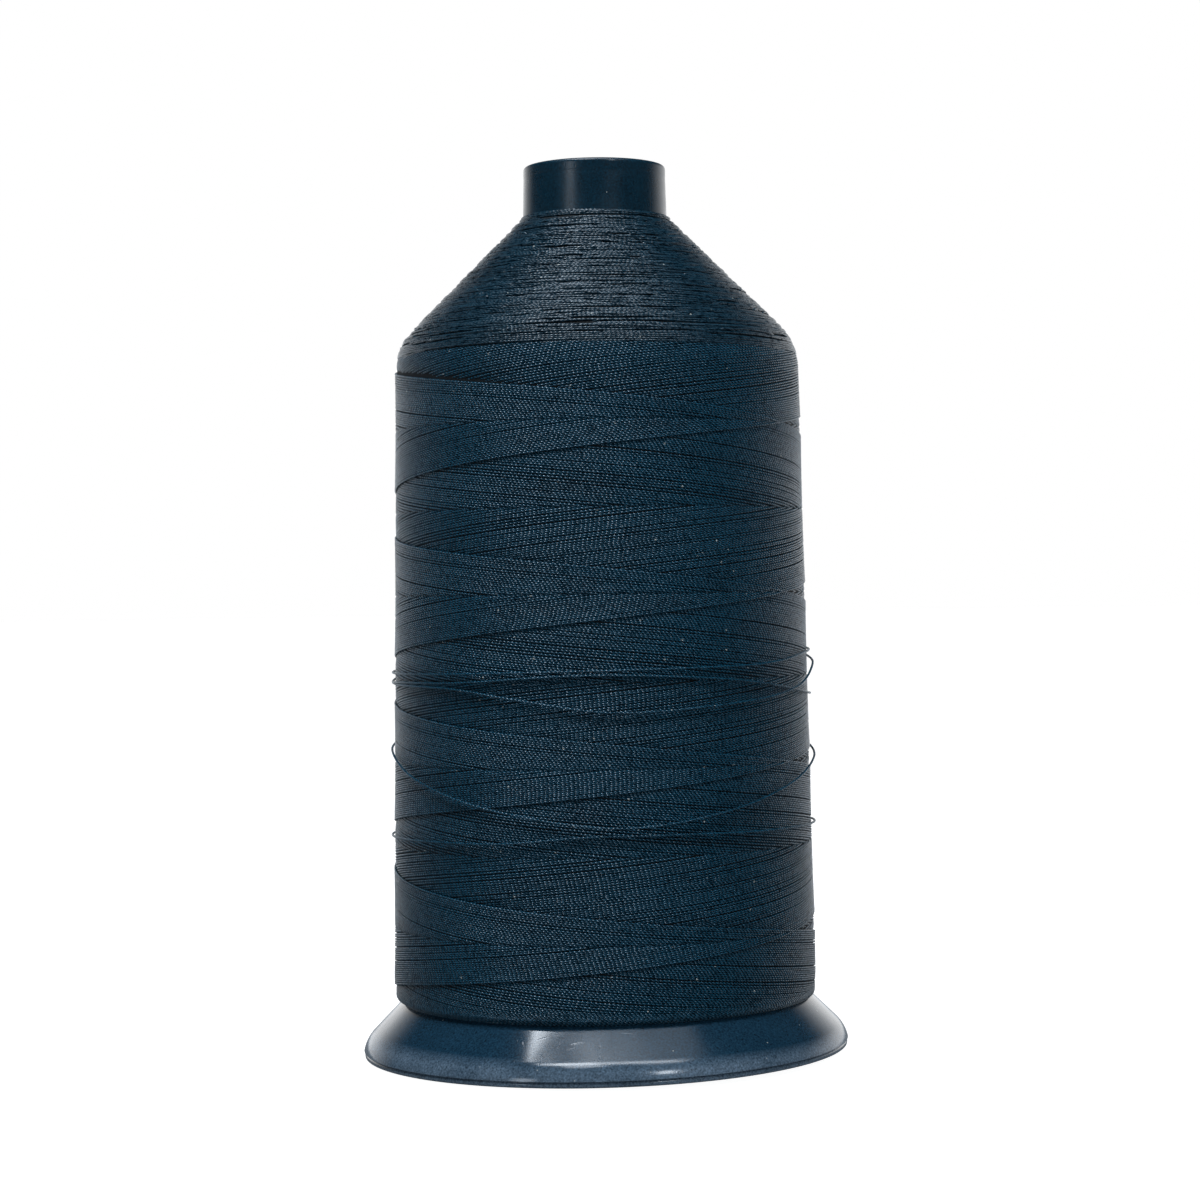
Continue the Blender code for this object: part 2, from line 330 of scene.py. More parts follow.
def strand_object(name, centers, outward, side, keep, row_steps, turn=STRAND_TURNS, plies=0.0):
    """Round strands with closed ends along rows of centres, only where keep is true.

    TWIST_LAYER holds the distance along the thread in cm and the turn round it. BAKE_LAYER gives each
    stretch of row_steps its own line, so that no two faces share a place.
    """
    rows, samples = centers.shape[:2]
    sides = len(turn)
    steps = np.linalg.norm(np.diff(centers, axis=1), axis=-1)
    twist = np.random.default_rng(rows)
    start = np.cumsum(twist.normal(TWIST_STEP, TWIST_SPREAD, (rows, 1)), axis=0)
    length = start + np.concatenate([np.zeros((rows, 1)), np.cumsum(steps, axis=1)], axis=1)
    reach = THREAD_RADIUS * np.ones((rows, samples, sides))
    if plies:
        phase = PLIES * (turn[None, None, :] - math.tau * length[..., None] / (PLIES * CROWN_PITCH))
        reach *= 1.0 + plies * (np.abs(np.sin(phase / 2)) - PLY_MEAN)
    points = (
        centers[:, :, None, :]
        + reach[..., None] * np.cos(turn)[None, None, :, None] * outward[:, :, None, :]
        + reach[..., None] * np.sin(turn)[None, None, :, None] * side[:, :, None, :]
    )
    index = np.arange(rows * samples * sides).reshape(rows, samples, sides)
    row, sample = np.nonzero(keep)
    here, ahead = index[row, sample], index[row, sample + 1]
    quads = np.stack([here, ahead, np.roll(ahead, -1, 1), np.roll(here, -1, 1)], axis=-1)
    quads = quads.reshape(-1, 4)

    u_here, u_ahead = length[row, sample] * 100, length[row, sample + 1] * 100
    v_low = (turn - turn[0]) / math.tau
    v_high = np.append(v_low[1:], 1.0)
    strand_uv = quad_uvs(u_here, u_ahead, v_low, v_high)
    lines = rows * math.ceil((samples - 1) / row_steps)
    line = row * math.ceil((samples - 1) / row_steps) + sample // row_steps
    x_here = (sample % row_steps) / row_steps
    bake_uv = quad_uvs(x_here, x_here + 1.0 / row_steps, v_low, v_high)
    bake_uv[:, :, :, 0] *= BAKE_FILL_ALONG
    bake_uv[:, :, :, 1] = (bake_uv[:, :, :, 1] * BAKE_FILL_ACROSS + line[:, None, None]) / lines

    padded = np.pad(keep, ((0, 0), (1, 1)))
    first_row, first_sample = np.nonzero(padded[:, 1:] & ~padded[:, :-1])
    last_row, last_sample = np.nonzero(padded[:, :-1] & ~padded[:, 1:])
    caps = np.concatenate([index[first_row, first_sample], index[last_row, last_sample][:, ::-1]])
    cap_uv = np.zeros((len(caps), sides, 2))
    used, renumbered = np.unique(np.concatenate([quads.ravel(), caps.ravel()]), return_inverse=True)
    quads = renumbered[: quads.size].reshape(-1, 4)
    caps = renumbered[quads.size :].reshape(-1, sides)
    uvs = {
        TWIST_LAYER: np.concatenate([strand_uv.reshape(-1, 2), cap_uv.reshape(-1, 2)]),
        BAKE_LAYER: np.concatenate([bake_uv.reshape(-1, 2), cap_uv.reshape(-1, 2)]),
    }
    return mesh_object(name, points.reshape(-1, 3)[used], [quads, caps], uvs)


def quad_uvs(u_here, u_ahead, v_low, v_high):
    """UVs of the quads of strand_object, as segments by sides by corners by 2."""
    uvs = np.empty((len(u_here), len(v_low), 4, 2))
    uvs[:, :, 0, 0] = u_here[:, None]
    uvs[:, :, 1, 0] = u_ahead[:, None]
    uvs[:, :, 2, 0] = u_ahead[:, None]
    uvs[:, :, 3, 0] = u_here[:, None]
    uvs[:, :, 0, 1] = v_low[None, :]
    uvs[:, :, 1, 1] = v_low[None, :]
    uvs[:, :, 2, 1] = v_high[None, :]
    uvs[:, :, 3, 1] = v_high[None, :]
    return uvs


def wander(rng, rows, samples, steps_per_turn, amplitude, waves):
    """Smooth random drift along each row, with the given numbers of waves in a turn."""
    place = np.arange(samples)[None, :] / steps_per_turn * math.tau
    drift = np.zeros((rows, samples))
    for count in waves:
        phase = rng.uniform(0, math.tau, (rows, 1))
        size = rng.normal(0, 1, (rows, 1))
        stretch = count * rng.uniform(0.8, 1.2, (rows, 1))
        drift += size * np.sin(place * stretch + phase)
    return drift * amplitude / math.sqrt(len(waves))


# ---------------------------------------------------------------- materials


def new_material(name, **settings):
    material = bpy.data.materials.new(name)
    material.use_nodes = True
    shader = material.node_tree.nodes["Principled BSDF"]
    for socket, value in settings.items():
        shader.inputs[socket.replace("_", " ")].default_value = value
    return material, material.node_tree, shader


def add_node(tree, kind, links=(), **settings):
    """A node with its sockets set or linked: links pairs a socket's name or number with an output."""
    node = tree.nodes.new(kind)
    for key, value in settings.items():
        setattr(node, key, value)
    for socket, value in links:
        if isinstance(value, bpy.types.NodeSocket):
            tree.links.new(value, node.inputs[socket])
        else:
            node.inputs[socket].default_value = value
    return node


def math_node(tree, operation, first, second=0.0, third=0.0):
    links = [(0, first), (1, second), (2, third)]
    return add_node(tree, "ShaderNodeMath", links, operation=operation).outputs[0]


def noise_node(tree, vector, scale, detail=2.0, roughness=0.5):
    links = [("Vector", vector), ("Scale", scale), ("Detail", detail), ("Roughness", roughness)]
    return add_node(tree, "ShaderNodeTexNoise", links).outputs["Fac"]


def ramp_node(tree, factor, low, high, low_at=0.0, high_at=1.0):
    """A blend between two colours or grey values as factor runs between two marks."""
    ramp = add_node(tree, "ShaderNodeValToRGB", [("Fac", factor)])
    first, second = ramp.color_ramp.elements
    first.position, second.position = low_at, high_at
    first.color, second.color = low, high
    return ramp.outputs["Color"]


def grey(value):
    return (value, value, value, 1.0)


def marks_node(tree, value, zero_at, one_at):
    """A straight ramp from 0 to 1 as value runs from one mark to the other."""
    links = [("Value", value), ("From Min", zero_at), ("From Max", one_at)]
    return add_node(tree, "ShaderNodeMapRange", links).outputs[0]


def mixed_color(tree, factor, first, second):
    links = [(0, factor), (6, first), (7, second)]
    return add_node(tree, "ShaderNodeMix", links, data_type="RGBA").outputs[2]


def scaled_vector(tree, vector, scale):
    links = [("Vector", vector), ("Scale", scale)]
    return add_node(tree, "ShaderNodeMapping", links).outputs["Vector"]


def thread_material(name, light_color, glint_scale, gains, twist):
    """Dark blue-black twisted filament thread with a thin resin bond.

    The size of the places that catch light is set by the scale argument, how much they vary by gains, and
    how far the plies show by twist. In the colour the crowns carry painted glints and the grooves between
    the plies carry painted shade.
    """
    material, tree, shader = new_material(name, Metallic=0.0, IOR=1.5)
    uv = add_node(tree, "ShaderNodeUVMap", uv_map=TWIST_LAYER).outputs["UV"]
    split = add_node(tree, "ShaderNodeSeparateXYZ", [("Vector", uv)])
    crown_per_cm = math.pi * 0.01 / CROWN_PITCH
    along = math_node(tree, "MULTIPLY", split.outputs["X"], crown_per_cm)
    around = math_node(tree, "MULTIPLY", split.outputs["Y"], math.pi * PLIES)
    ply = math_node(tree, "ABSOLUTE", math_node(tree, "SINE", math_node(tree, "SUBTRACT", along, around)))
    filament = noise_node(tree, scaled_vector(tree, uv, (60.0, 9.0, 1.0)), 1.0, detail=1.0)
    place = add_node(tree, "ShaderNodeTexCoord").outputs["Object"]
    glint = noise_node(tree, scaled_vector(tree, place, glint_scale), 1.0, detail=1.0)
    patch = noise_node(tree, scaled_vector(tree, place, (60.0, 60.0, 260.0)), 1.0, detail=3.0)
    twisted = marks_node(tree, ply, 1.0 - 1.0 / twist, 1.0)
    crown = math_node(tree, "MULTIPLY", twisted, glint_gain(tree, glint, *gains))
    # The colour ramp paints shade into the grooves between the plies and glints onto the crowns that the
    # gain picks out, under random patches of tone.
    shade = math_node(tree, "MULTIPLY", crown, math_node(tree, "ADD", patch, 0.55))
    color = ramp_node(tree, shade, THREAD_DARK, light_color, 0.05, 1.0)
    color = mixed_color(tree, dust_specks(tree, place, 3.8 * MM, 0.24 * MM), color, DUST_COLOR)
    tree.links.new(color, shader.inputs["Base Color"])
    rough = ramp_node(tree, filament, grey(0.26), grey(0.42), 0.3, 0.7)
    tree.links.new(rough, shader.inputs["Roughness"])
    gloss = ramp_node(tree, crown, grey(0.02), grey(THREAD_GLOSS), 0.20, 1.20)
    tree.links.new(gloss, shader.inputs["Specular IOR Level"])
    add_bump(tree, shader, math_node(tree, "MULTIPLY_ADD", filament, 0.25, twisted), 0.09 * MM)
    return material


def add_bump(tree, shader, height, depth):
    links = [("Height", height), ("Strength", 1.0), ("Distance", depth)]
    bump = add_node(tree, "ShaderNodeBump", links)
    tree.links.new(bump.outputs["Normal"], shader.inputs["Normal"])


def dust_specks(tree, place, spacing, size):
    """1 on small scattered specks and 0 elsewhere."""
    links = [("Vector", place), ("Scale", 1.0 / spacing)]
    distance = add_node(tree, "ShaderNodeTexVoronoi", links, feature="F1").outputs["Distance"]
    return marks_node(tree, distance, size / spacing, 0.7 * size / spacing)


def glint_gain(tree, glint, least, most):
    """Turn a noise into a gain, so that each crown of the twist catches light its own way: a painted
    glint in the colour and its own gloss.
    """
    links = [("Value", glint), ("From Min", 0.30), ("From Max", 0.70)]
    links += [("To Min", least), ("To Max", most)]
    return add_node(tree, "ShaderNodeMapRange", links).outputs[0]


def plastic_material(name, colors, roughness, scratch_depth, smudge_scale, reflection_below=0.0):
    """Moulded black plastic with smudges, speckle, dust and fine handling marks.

    colors and roughness are pairs: where the smudges are weak and where they are strong. Below a given
    height, if one is given, a pale painted reflection of the bright floor is mixed into the colour,
    mottled by the smudges.
    """
    material, tree, shader = new_material(name, Metallic=0.0, IOR=1.45)
    place = add_node(tree, "ShaderNodeTexCoord").outputs["Object"]
    smudge_place = scaled_vector(tree, place, (smudge_scale,) * 3)
    smudge = noise_node(tree, smudge_place, 1.0, detail=5.0, roughness=0.62)
    grain = noise_node(tree, place, 2600.0, detail=2.0)
    color = ramp_node(tree, smudge, *colors, 0.35, 0.7)
    # Painted reflection of the bright floor: below the given height the colour turns a pale blue-grey,
    # mottled by the smudges.
    if reflection_below:
        height = add_node(tree, "ShaderNodeSeparateXYZ", [("Vector", place)]).outputs["Z"]
        floor_reflection = marks_node(tree, height, reflection_below, reflection_below - 2.2 * MM)
        floor_reflection = math_node(tree, "MULTIPLY", floor_reflection, marks_node(tree, smudge, 0.10, 0.55))
        color = mixed_color(tree, floor_reflection, color, FLOOR_REFLECTION_COLOR)
    speckle = math_node(tree, "MULTIPLY_ADD", grain, 2.4, -0.2)
    speckled = [(0, color), ("Scale", speckle)]
    color = add_node(tree, "ShaderNodeVectorMath", speckled, operation="SCALE").outputs[0]
    color = mixed_color(tree, dust_specks(tree, place, 3.6 * MM, 0.15 * MM), color, DUST_COLOR)
    tree.links.new(color, shader.inputs["Base Color"])
    rough_low, rough_high = roughness
    rough = ramp_node(tree, smudge, grey(rough_low), grey(rough_high), 0.38, 0.72)
    tree.links.new(rough, shader.inputs["Roughness"])
    height = math_node(tree, "MULTIPLY_ADD", grain, 0.12, scratch_marks(tree, place))
    add_bump(tree, shader, height, scratch_depth)
    return material


def scratch_marks(tree, place):
    """Short thin lines in several directions, between 0 and 1, as a height."""
    total = None
    for turn, stretch in ((0.4, (900, 60, 300)), (1.3, (80, 1100, 260)), (2.2, (700, 500, 50))):
        links = [("Vector", place), ("Rotation", (turn, 0.7 * turn, turn)), ("Scale", stretch)]
        turned = add_node(tree, "ShaderNodeMapping", links).outputs["Vector"]
        cell = add_node(tree, "ShaderNodeTexVoronoi", [("Vector", turned), ("Scale", 1.0)], feature="F1")
        mark = ramp_node(tree, cell.outputs["Distance"], grey(0.0), grey(1.0), 0.05, 0.16)
        grey_mark = add_node(tree, "ShaderNodeRGBToBW", [("Color", mark)]).outputs[0]
        total = grey_mark if total is None else math_node(tree, "MULTIPLY", total, grey_mark)
    return total


# ---------------------------------------------------------------- the wound body


def family_ages(rng):
    """How far each turn of a family lies behind the newest one: close when new, with gaps when old.

    Gives the ages with gaps and the same number of even ages.
    """
    ages = [0.0]
    while ages[-1] < LEAD - 0.6 * THREAD_PITCH:
        old = ages[-1] / LEAD
        gap = rng.random() < GAP_CHANCE_NEW + GAP_CHANCE_GROWTH * old
        ages.append(ages[-1] + THREAD_PITCH * (CLOSE_PITCH + gap * rng.uniform(*GAP_SIZES)))
    ages = np.array(ages[:-1])
    return ages, np.arange(len(ages)) * LEAD / len(ages)


def wound_family(name, climbs, rng):
    """One family of parallel helical turns over the whole body, kept only where it is on top.

    climbs is 1 for the turns that climb to the right and -1 for those that fall to the right. Near the
    top the gaps between the turns even out, and at the shoulder the turns sink under the cone's.
    """
    ages, even_ages = family_ages(rng)
    high = winding.path_at_height(SHOULDER_TOP)
    samples = int((high - BODY_LOW + 2 * BODY_MARGIN) / LEAD * STEPS_PER_TURN)
    level = BODY_LOW - BODY_MARGIN + np.arange(samples)[None, :] * LEAD / STEPS_PER_TURN
    path_to_height = PHASE_HEIGHT - winding.path_at_height(PHASE_HEIGHT)
    newest = (RISING_PHASE if climbs > 0 else FALLING_PHASE) - path_to_height
    other = (FALLING_PHASE if climbs > 0 else RISING_PHASE) - path_to_height
    angles = climbs * (level - newest - climbs * ages[:, None]) / LEAD * math.tau
    level = level - climbs * FRONT_FLATTENING * np.sin(angles)
    slide = climbs * (LEAD * angles / math.tau - FRONT_FLATTENING * np.sin(angles))
    age = np.broadcast_to(ages[:, None], angles.shape)
    other_age = np.mod(climbs * (other - level - slide), LEAD)
    lead_over = other_age - age
    lift = body_lift(age, other_age, lead_over)

    evenness = smooth((level - high + EVEN_REACH) / EVEN_FADE)
    drift = climbs * (even_ages - ages)[:, None] * evenness
    drift = drift + wander(rng, len(ages), samples, STEPS_PER_TURN, SIDE_WANDER, (1, 2.7, 6.1))
    path = settle_at_bottom(level + drift)
    top_fade = smooth((level - shoulder + TOP_FADE_REACH) / TOP_FADE)
    lift = lift - SINK_DEPTH * top_fade
    lift = lift + wander(rng, len(ages), samples, STEPS_PER_TURN, LIFT_WANDER, (2.3, 7.7))
    lift = lift + swell(path)
    centers, outward, side = frame_of_path(angles, path, winding, lift - THREAD_RADIUS)
    shown = (lead_over > -SUNK_REACH) | (other_age < UNDERLAP)
    shown &= level < high
    keep = shown[:, :-1] & shown[:, 1:]
    thirds = np.array_split(np.arange(len(ages)), FAMILY_PIECES)
    for number, rows in enumerate(thirds, start=1):
        rows = slice(rows[0], rows[-1] + 1)
        places = centers[rows], outward[rows], side[rows]
        piece = strand_object(f"{name}_{number}", *places, keep[rows], STEPS_PER_TURN)
        add_piece(piece, THREAD_SLOT, thread)


def body_lift(age, other_age, lead_over):
    """How far a strand stands off the CAD surface: newest highest, and sunk under the other family."""
    lift = NEWEST_LIFT * np.exp(-age / NEWEST_REACH) - AGE_DROP * age / LEAD
    sink = 1.0 - smooth(lead_over / SINK_WIDTH + 0.5)
    tuck = np.exp(-(LEAD - other_age) / TUCK_REACH) * (lead_over > 0)
    return lift - SINK_DEPTH * sink - TUCK_DEPTH * tuck


def swell(path):
    """How far the strands of the body stand out past the CAD surface, fading at both ends."""
    top = winding.path_at_height(SHOULDER_TOP - SWELL_END)
    return BODY_SWELL * smooth(path / SWELL_RISE) * smooth((top - path) / SWELL_FALL)


def settle_at_bottom(path):
    """Bend turns level as they come down to the winding's lower edge."""
    return LOWEST_TURN + LOWEST_BEND * np.logaddexp(0.0, (path - LOWEST_TURN) / LOWEST_BEND)


def winding_bed():
    """The closed mass of thread under the strands that show, painted dark with the shade it lies in.

    Its hidden inside runs down the barrel and out along the foot's cone, just clear of both.
    """
    path = np.linspace(0.0, winding.length, 260)
    radius, height, normal_r, normal_z = winding.at(path)
    depth = BED_DEPTH - swell(path)
    outside = np.stack([radius - normal_r * depth, height - normal_z * depth], axis=-1)
    bore_top = barrel.radii[-1] + (barrel.heights[-1] - height[-1]) * BARREL_DRAFT + BARREL_GAP
    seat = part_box("spool_barrel")[0].z
    bottom_outer = (outside[0][0] - 0.6 * MM, foot_cone_sum - outside[0][0] + 0.9 * MM)
    outline = [(bore_top, height[-1] - BED_DEPTH)]
    outline += [(barrel.radii[0] + BARREL_GAP, seat + 0.2 * MM)]
    outline += [(foot_cone_sum - seat + 0.3 * MM, seat + 0.2 * MM), bottom_outer]
    outline += [tuple(point) for point in outside]
    points, quads = turned_points(outline[::-1], 128)
    bed = mesh_object("winding_bed", points, [quads])
    return add_piece(bed, THREAD_SLOT, shaded_thread, "thread_winding")


def bed_material():
    """The thread under the top layer, with its deep shade painted into its colour."""
    material, tree, shader = new_material("thread_in_shade", Roughness=0.8, IOR=1.4)
    place = add_node(tree, "ShaderNodeTexCoord").outputs["Object"]
    rows = noise_node(tree, scaled_vector(tree, place, (80.0, 80.0, 2400.0)), 1.0)
    color = ramp_node(tree, rows, SHADE_DARK, SHADE_LIGHT, 0.35, 0.7)
    tree.links.new(color, shader.inputs["Base Color"])
    return material


# ---------------------------------------------------------------- cone, lower edge and loose turns


def level_helix(name, material, core, span, pitch, lift, drift, rng):
    """One thread wound almost level on the outline core, over a span of its path.

    lift is how far the thread's outside stands off the outline, and drift is how far it wanders.
    """
    start, end = span
    steps = LEVEL_STEPS_PER_TURN
    samples = int((end - start) / pitch * steps)
    place = np.arange(samples)
    angles = place / steps * math.tau + rng.uniform(0, math.tau)
    path = start + pitch * place / steps
    path = path + wander_along(rng, samples, steps, drift, 1.6)
    path = path + wander_along(rng, samples, steps, 0.45 * drift, 7.0)
    lifts = lift + wander_along(rng, samples, steps, 0.35 * drift, 5.0)
    ends = smooth((place - 0.3 * steps) / (0.2 * steps)) * smooth((samples - place) / (0.3 * steps))
    lifts = lifts - SINK_DEPTH * (1 - ends)
    centers, outward, side = frame_of_path(angles, path, core, lifts - THREAD_RADIUS)
    pieces = math.ceil(samples / LEVEL_PIECE_STEPS)
    for number, part in enumerate(np.array_split(np.arange(samples), pieces), start=1):
        part = slice(part[0], min(part[-1] + 2, samples))
        keep = np.ones((1, len(centers[part]) - 1), dtype=bool)
        places = centers[None, part], outward[None, part], side[None, part]
        piece = strand_object(f"{name}_{number}", *places, keep, steps)
        add_piece(piece, THREAD_SLOT, material)


def wander_along(rng, samples, steps_per_turn, amplitude, knots_per_radian):
    """Smooth random drift that never repeats from turn to turn."""
    knots = rng.normal(0, 1, int(samples / steps_per_turn * math.tau * knots_per_radian) + 4)
    place = np.linspace(0, len(knots) - 3.001, samples) + 1
    index = place.astype(int)
    share = place - index
    share = share * share * (3 - 2 * share)
    return amplitude * (knots[index] * (1 - share) + knots[index + 1] * share)


def turning_arcs(name, count, spans, drops, lifts, highest, rng):
    """Places on the cone where the thread comes up, runs level and goes down again.

    Each pair holds the least and the most: spans in degrees to each side of an arc's highest place,
    drops and lifts in mm, and highest the path at which that place lies.
    """
    samples = ARC_SAMPLES
    share = np.linspace(-1, 1, samples)[None, :]
    span = np.radians(rng.uniform(*spans, (count, 1)))
    middle = rng.uniform(0, math.tau, (count, 1))
    apex = rng.uniform(*highest, (count, 1))
    drop = rng.uniform(*drops, (count, 1)) * MM
    tilt = rng.normal(0, 0.25, (count, 1)) * drop
    path = apex - drop * share**2 + tilt * share
    path += wander(rng, count, samples, samples, 0.07 * MM, (1.5, 3.5, 7.0))
    lift = rng.uniform(*lifts, (count, 1)) * MM - 0.60 * MM * smooth((np.abs(share) - 0.72) / 0.28)
    centers, outward, side = frame_of_path(middle + span * share, path, winding, lift - THREAD_RADIUS)
    keep = np.ones((count, samples - 1), dtype=bool)
    piece = strand_object(name, centers, outward, side, keep, samples - 1)
    return add_piece(piece, THREAD_SLOT, cone_thread_painted_shade)


def cad_turn(node):
    """Degrees from the front, and heights, of the rings of points along a loose turn of the CAD."""
    points = mesh_points(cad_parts[node].data)
    degrees = np.degrees(np.arctan2(points[:, 0], -points[:, 1]))
    order = np.argsort(degrees)
    rings = np.split(order, np.nonzero(np.diff(degrees[order]) > RING_GAP)[0] + 1)
    heights = [points[ring, 2] for ring in rings]
    middles = [np.ptp(height) / 2 + height.min() for height in heights]
    return np.array([degrees[ring].mean() for ring in rings]), np.array(middles)


def smoothed_along(values):
    """Values along a loose turn with their corners smoothed away."""
    window = np.hanning(int(LOOSE_SMOOTHING / LOOSE_STEP))
    half = len(window) // 2
    padded = np.pad(values, half, mode="edge")
    return np.convolve(padded, window / window.sum(), mode="same")[half:][: len(values)]


def loose_turn(node, stand_off, rng):
    """A loose turn along its CAD cord, with its twist in its shape.

    stand_off holds (degrees from the front, mm) marks of its clearance from the winding.
    """
    cad_degrees, cad_heights = cad_turn(node)
    degrees = np.arange(cad_degrees[0], cad_degrees[-1], LOOSE_STEP)
    samples = len(degrees)
    height = smoothed_along(np.interp(degrees, cad_degrees, cad_heights))
    height = height + wander_along(rng, samples, 360 / LOOSE_STEP, 0.05 * MM, 2.2)
    from_end = np.minimum(degrees - degrees[0], degrees[-1] - degrees)
    marks, clearance = np.array(stand_off, dtype=float).T
    lift = smoothed_along(np.interp(degrees, marks, clearance) * MM)
    lift = lift + THREAD_RADIUS - LOOSE_END_DEPTH * (1 - smooth(from_end / LOOSE_END_DEGREES))
    path = winding.path_at_height(height)
    lift = lift + swell(path)
    centers, outward, side = frame_of_path(np.radians(degrees)[None], path[None], winding, lift[None])
    keep = np.ones((1, samples - 1), dtype=bool)
    places = centers, outward, side
    piece = strand_object(
        f"{node}_thread", *places, keep, LOOSE_BAKE_STEPS, ROUND_TURNS, plies=LOOSE_PLIES
    )
    return add_piece(piece, THREAD_SLOT, thread, node)


def loose_turns(rng):
    near = LOOSE_NEAR
    loose_turn("loose_wrap_upper", [(-180, near), (180, near)], rng)
    loose_turn("loose_wrap_middle", [(-180, near), (180, near)], rng)
    loose_turn("loose_wrap_lower", [(66, near), (84, 0.45), (110, near)], rng)
    loose_turn("slack_loop_small", [(20, near), (62, 0.55), (86, 1.0), (110, 0.3)], rng)
    loose_turn(
        "slack_loop_large",
        [(-120, near), (-86, 0.32), (-50, 0.42), (5, 0.60), (50, 0.3), (84, 0.8), (120, near)], rng,
    )


# ---------------------------------------------------------------- moulded parts


def arc(center, radius, start_degrees, end_degrees, steps):
    turn = np.radians(np.linspace(start_degrees, end_degrees, steps + 1))
    return [(center[0] + radius * math.cos(a), center[1] + radius * math.sin(a)) for a in turn]


def rounded(outline, radius, steps=4):
    """A closed outline with its corners rounded, where the two sides are long enough."""
    result = []
    count = len(outline)
    for index in range(count):
        before, corner, after = (np.array(outline[(index + shift) % count]) for shift in (-1, 0, 1))
        to_before, to_after = before - corner, after - corner
        reach = min(radius, 0.45 * np.linalg.norm(to_before), 0.45 * np.linalg.norm(to_after))
        start = corner + to_before / np.linalg.norm(to_before) * reach
        end = corner + to_after / np.linalg.norm(to_after) * reach
        for step in range(steps + 1):
            share = step / steps
            point = (1 - share) ** 2 * start + 2 * share * (1 - share) * corner + share**2 * end
            result.append(tuple(point))
    return result


def moulded_foot():
    """The flared foot: cone, rolled rim, thin lip and hollow underside, with the spigot inside.

    The sum of radius and height is the same all over the cone, foot_cone_sum. The lip juts out under a
    narrow groove, and the spool stands on its underside.
    """
    low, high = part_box("spool_foot")
    rim = high.x
    lip = rim - 0.5 * MM
    seat = FOOT_SEAT_HEIGHT
    web = seat - WALL
    inner_sum = foot_cone_sum - math.sqrt(2) * WALL
    roll_radius = rim + 0.05 * MM - FOOT_ROLL
    center = (roll_radius, foot_cone_sum - math.sqrt(2) * FOOT_ROLL - roll_radius)
    roll_end = math.degrees(math.asin((LIP_GROOVE_TOP - center[1]) / FOOT_ROLL))
    corners = [(FOOT_SPIGOT, high.z), (FOOT_SPIGOT, seat), (foot_cone_sum - seat, seat)]
    corners += arc(center, FOOT_ROLL, 45, roll_end, 24)
    corners += [(lip - 0.05 * MM, LIP_GROOVE_TOP), (lip - 0.05 * MM, 1.12 * MM)]
    corners += [(lip + 0.20 * MM, 0.80 * MM), (lip + 0.20 * MM, 0.18 * MM)]
    corners += [(lip - 0.3 * MM, low.z), (rim - 2.95 * MM, low.z)]
    corners += arc(center, FOOT_ROLL - WALL, 8, 45, 8)
    corners += [(inner_sum - web, web), (FOOT_BORE, web), (FOOT_BORE, high.z)]
    points, quads = turned_points(rounded(corners, 0.22 * MM)[::-1], 320)
    sin, cos = math.sin(FOOT_LEAN), math.cos(FOOT_LEAN)
    lean = np.array([[cos, 0, -sin], [0, 1, 0], [sin, 0, cos]])
    piece = mesh_object("moulded_foot", points @ lean.T + np.array([0, 0, FOOT_LIFT]), [quads])
    material = plastic_material(
        "gloss_black_plastic", (FOOT_DARK, FOOT_LIGHT), FOOT_ROUGHNESS, 0.006 * MM, 55.0, FOOT_REFLECTION_BELOW
    )
    return add_piece(piece, "foot_plastic", material, "spool_foot")


def moulded_barrel():
    """The drafted barrel, whose bare top is the collar with a thin bead round its rounded rim."""
    low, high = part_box("spool_barrel")
    below_bead = high.z - 4 * MM
    top_radius = barrel.radii[np.searchsorted(barrel.heights, below_bead)] - 4 * MM * BARREL_DRAFT
    bottom_radius = top_radius + (high.z - low.z) * BARREL_DRAFT
    bead_radius = top_radius + COLLAR_BEAD
    bore_step = low.z + BARREL_BORE_DEPTH
    bore_radius = top_radius + (high.z - bore_step) * BARREL_DRAFT - WALL
    corners = arc((bead_radius - COLLAR_RIM, high.z - COLLAR_RIM), COLLAR_RIM, 90, 0, 10)
    corners += [(bead_radius, high.z - 2.0 * MM), (top_radius + 0.03 * MM, high.z - 2.5 * MM)]
    corners += [(bottom_radius, low.z), (BARREL_BORE, low.z)]
    corners += [(BARREL_BORE, bore_step), (bore_radius, bore_step)]
    corners += [(top_radius - WALL, high.z - 0.5 * MM), (top_radius - WALL + 0.5 * MM, high.z)]
    points, quads = turned_points(rounded(corners, 0.15 * MM)[::-1], 256)
    piece = mesh_object("moulded_barrel", points, [quads])
    material = plastic_material(
        "satin_black_plastic", (BARREL_DARK, BARREL_LIGHT), BARREL_ROUGHNESS, 0.010 * MM, 90.0
    )
    return add_piece(piece, "barrel_plastic", material, "spool_barrel")


# ---------------------------------------------------------------- studio


def aim(obj, target):
    direction = np.array(target) - np.array(obj.location)
    flat = math.hypot(direction[0], direction[1])
    tilt = math.pi / 2 + math.atan2(direction[2], flat)
    obj.rotation_euler = (tilt, 0.0, math.atan2(-direction[0], direction[1]))


def area_light(name, location, target, size, power):
    light = bpy.data.lights.new(name, "AREA")
    light.shape = "RECTANGLE"
    light.size, light.size_y = size
    light.energy = power
    light.color = LAMP_TONE
    obj = bpy.data.objects.new(name, light)
    obj.location = location
    bpy.context.scene.collection.objects.link(obj)
    aim(obj, target)


def camera_switch(tree, seen, unseen):
    """The shader seen for the camera's own rays, and the shader unseen for light and reflections."""
    camera_ray = add_node(tree, "ShaderNodeLightPath").outputs["Is Camera Ray"]
    links = [(0, camera_ray), (1, unseen.outputs[0]), (2, seen.outputs[0])]
    return add_node(tree, "ShaderNodeMixShader", links).outputs[0]


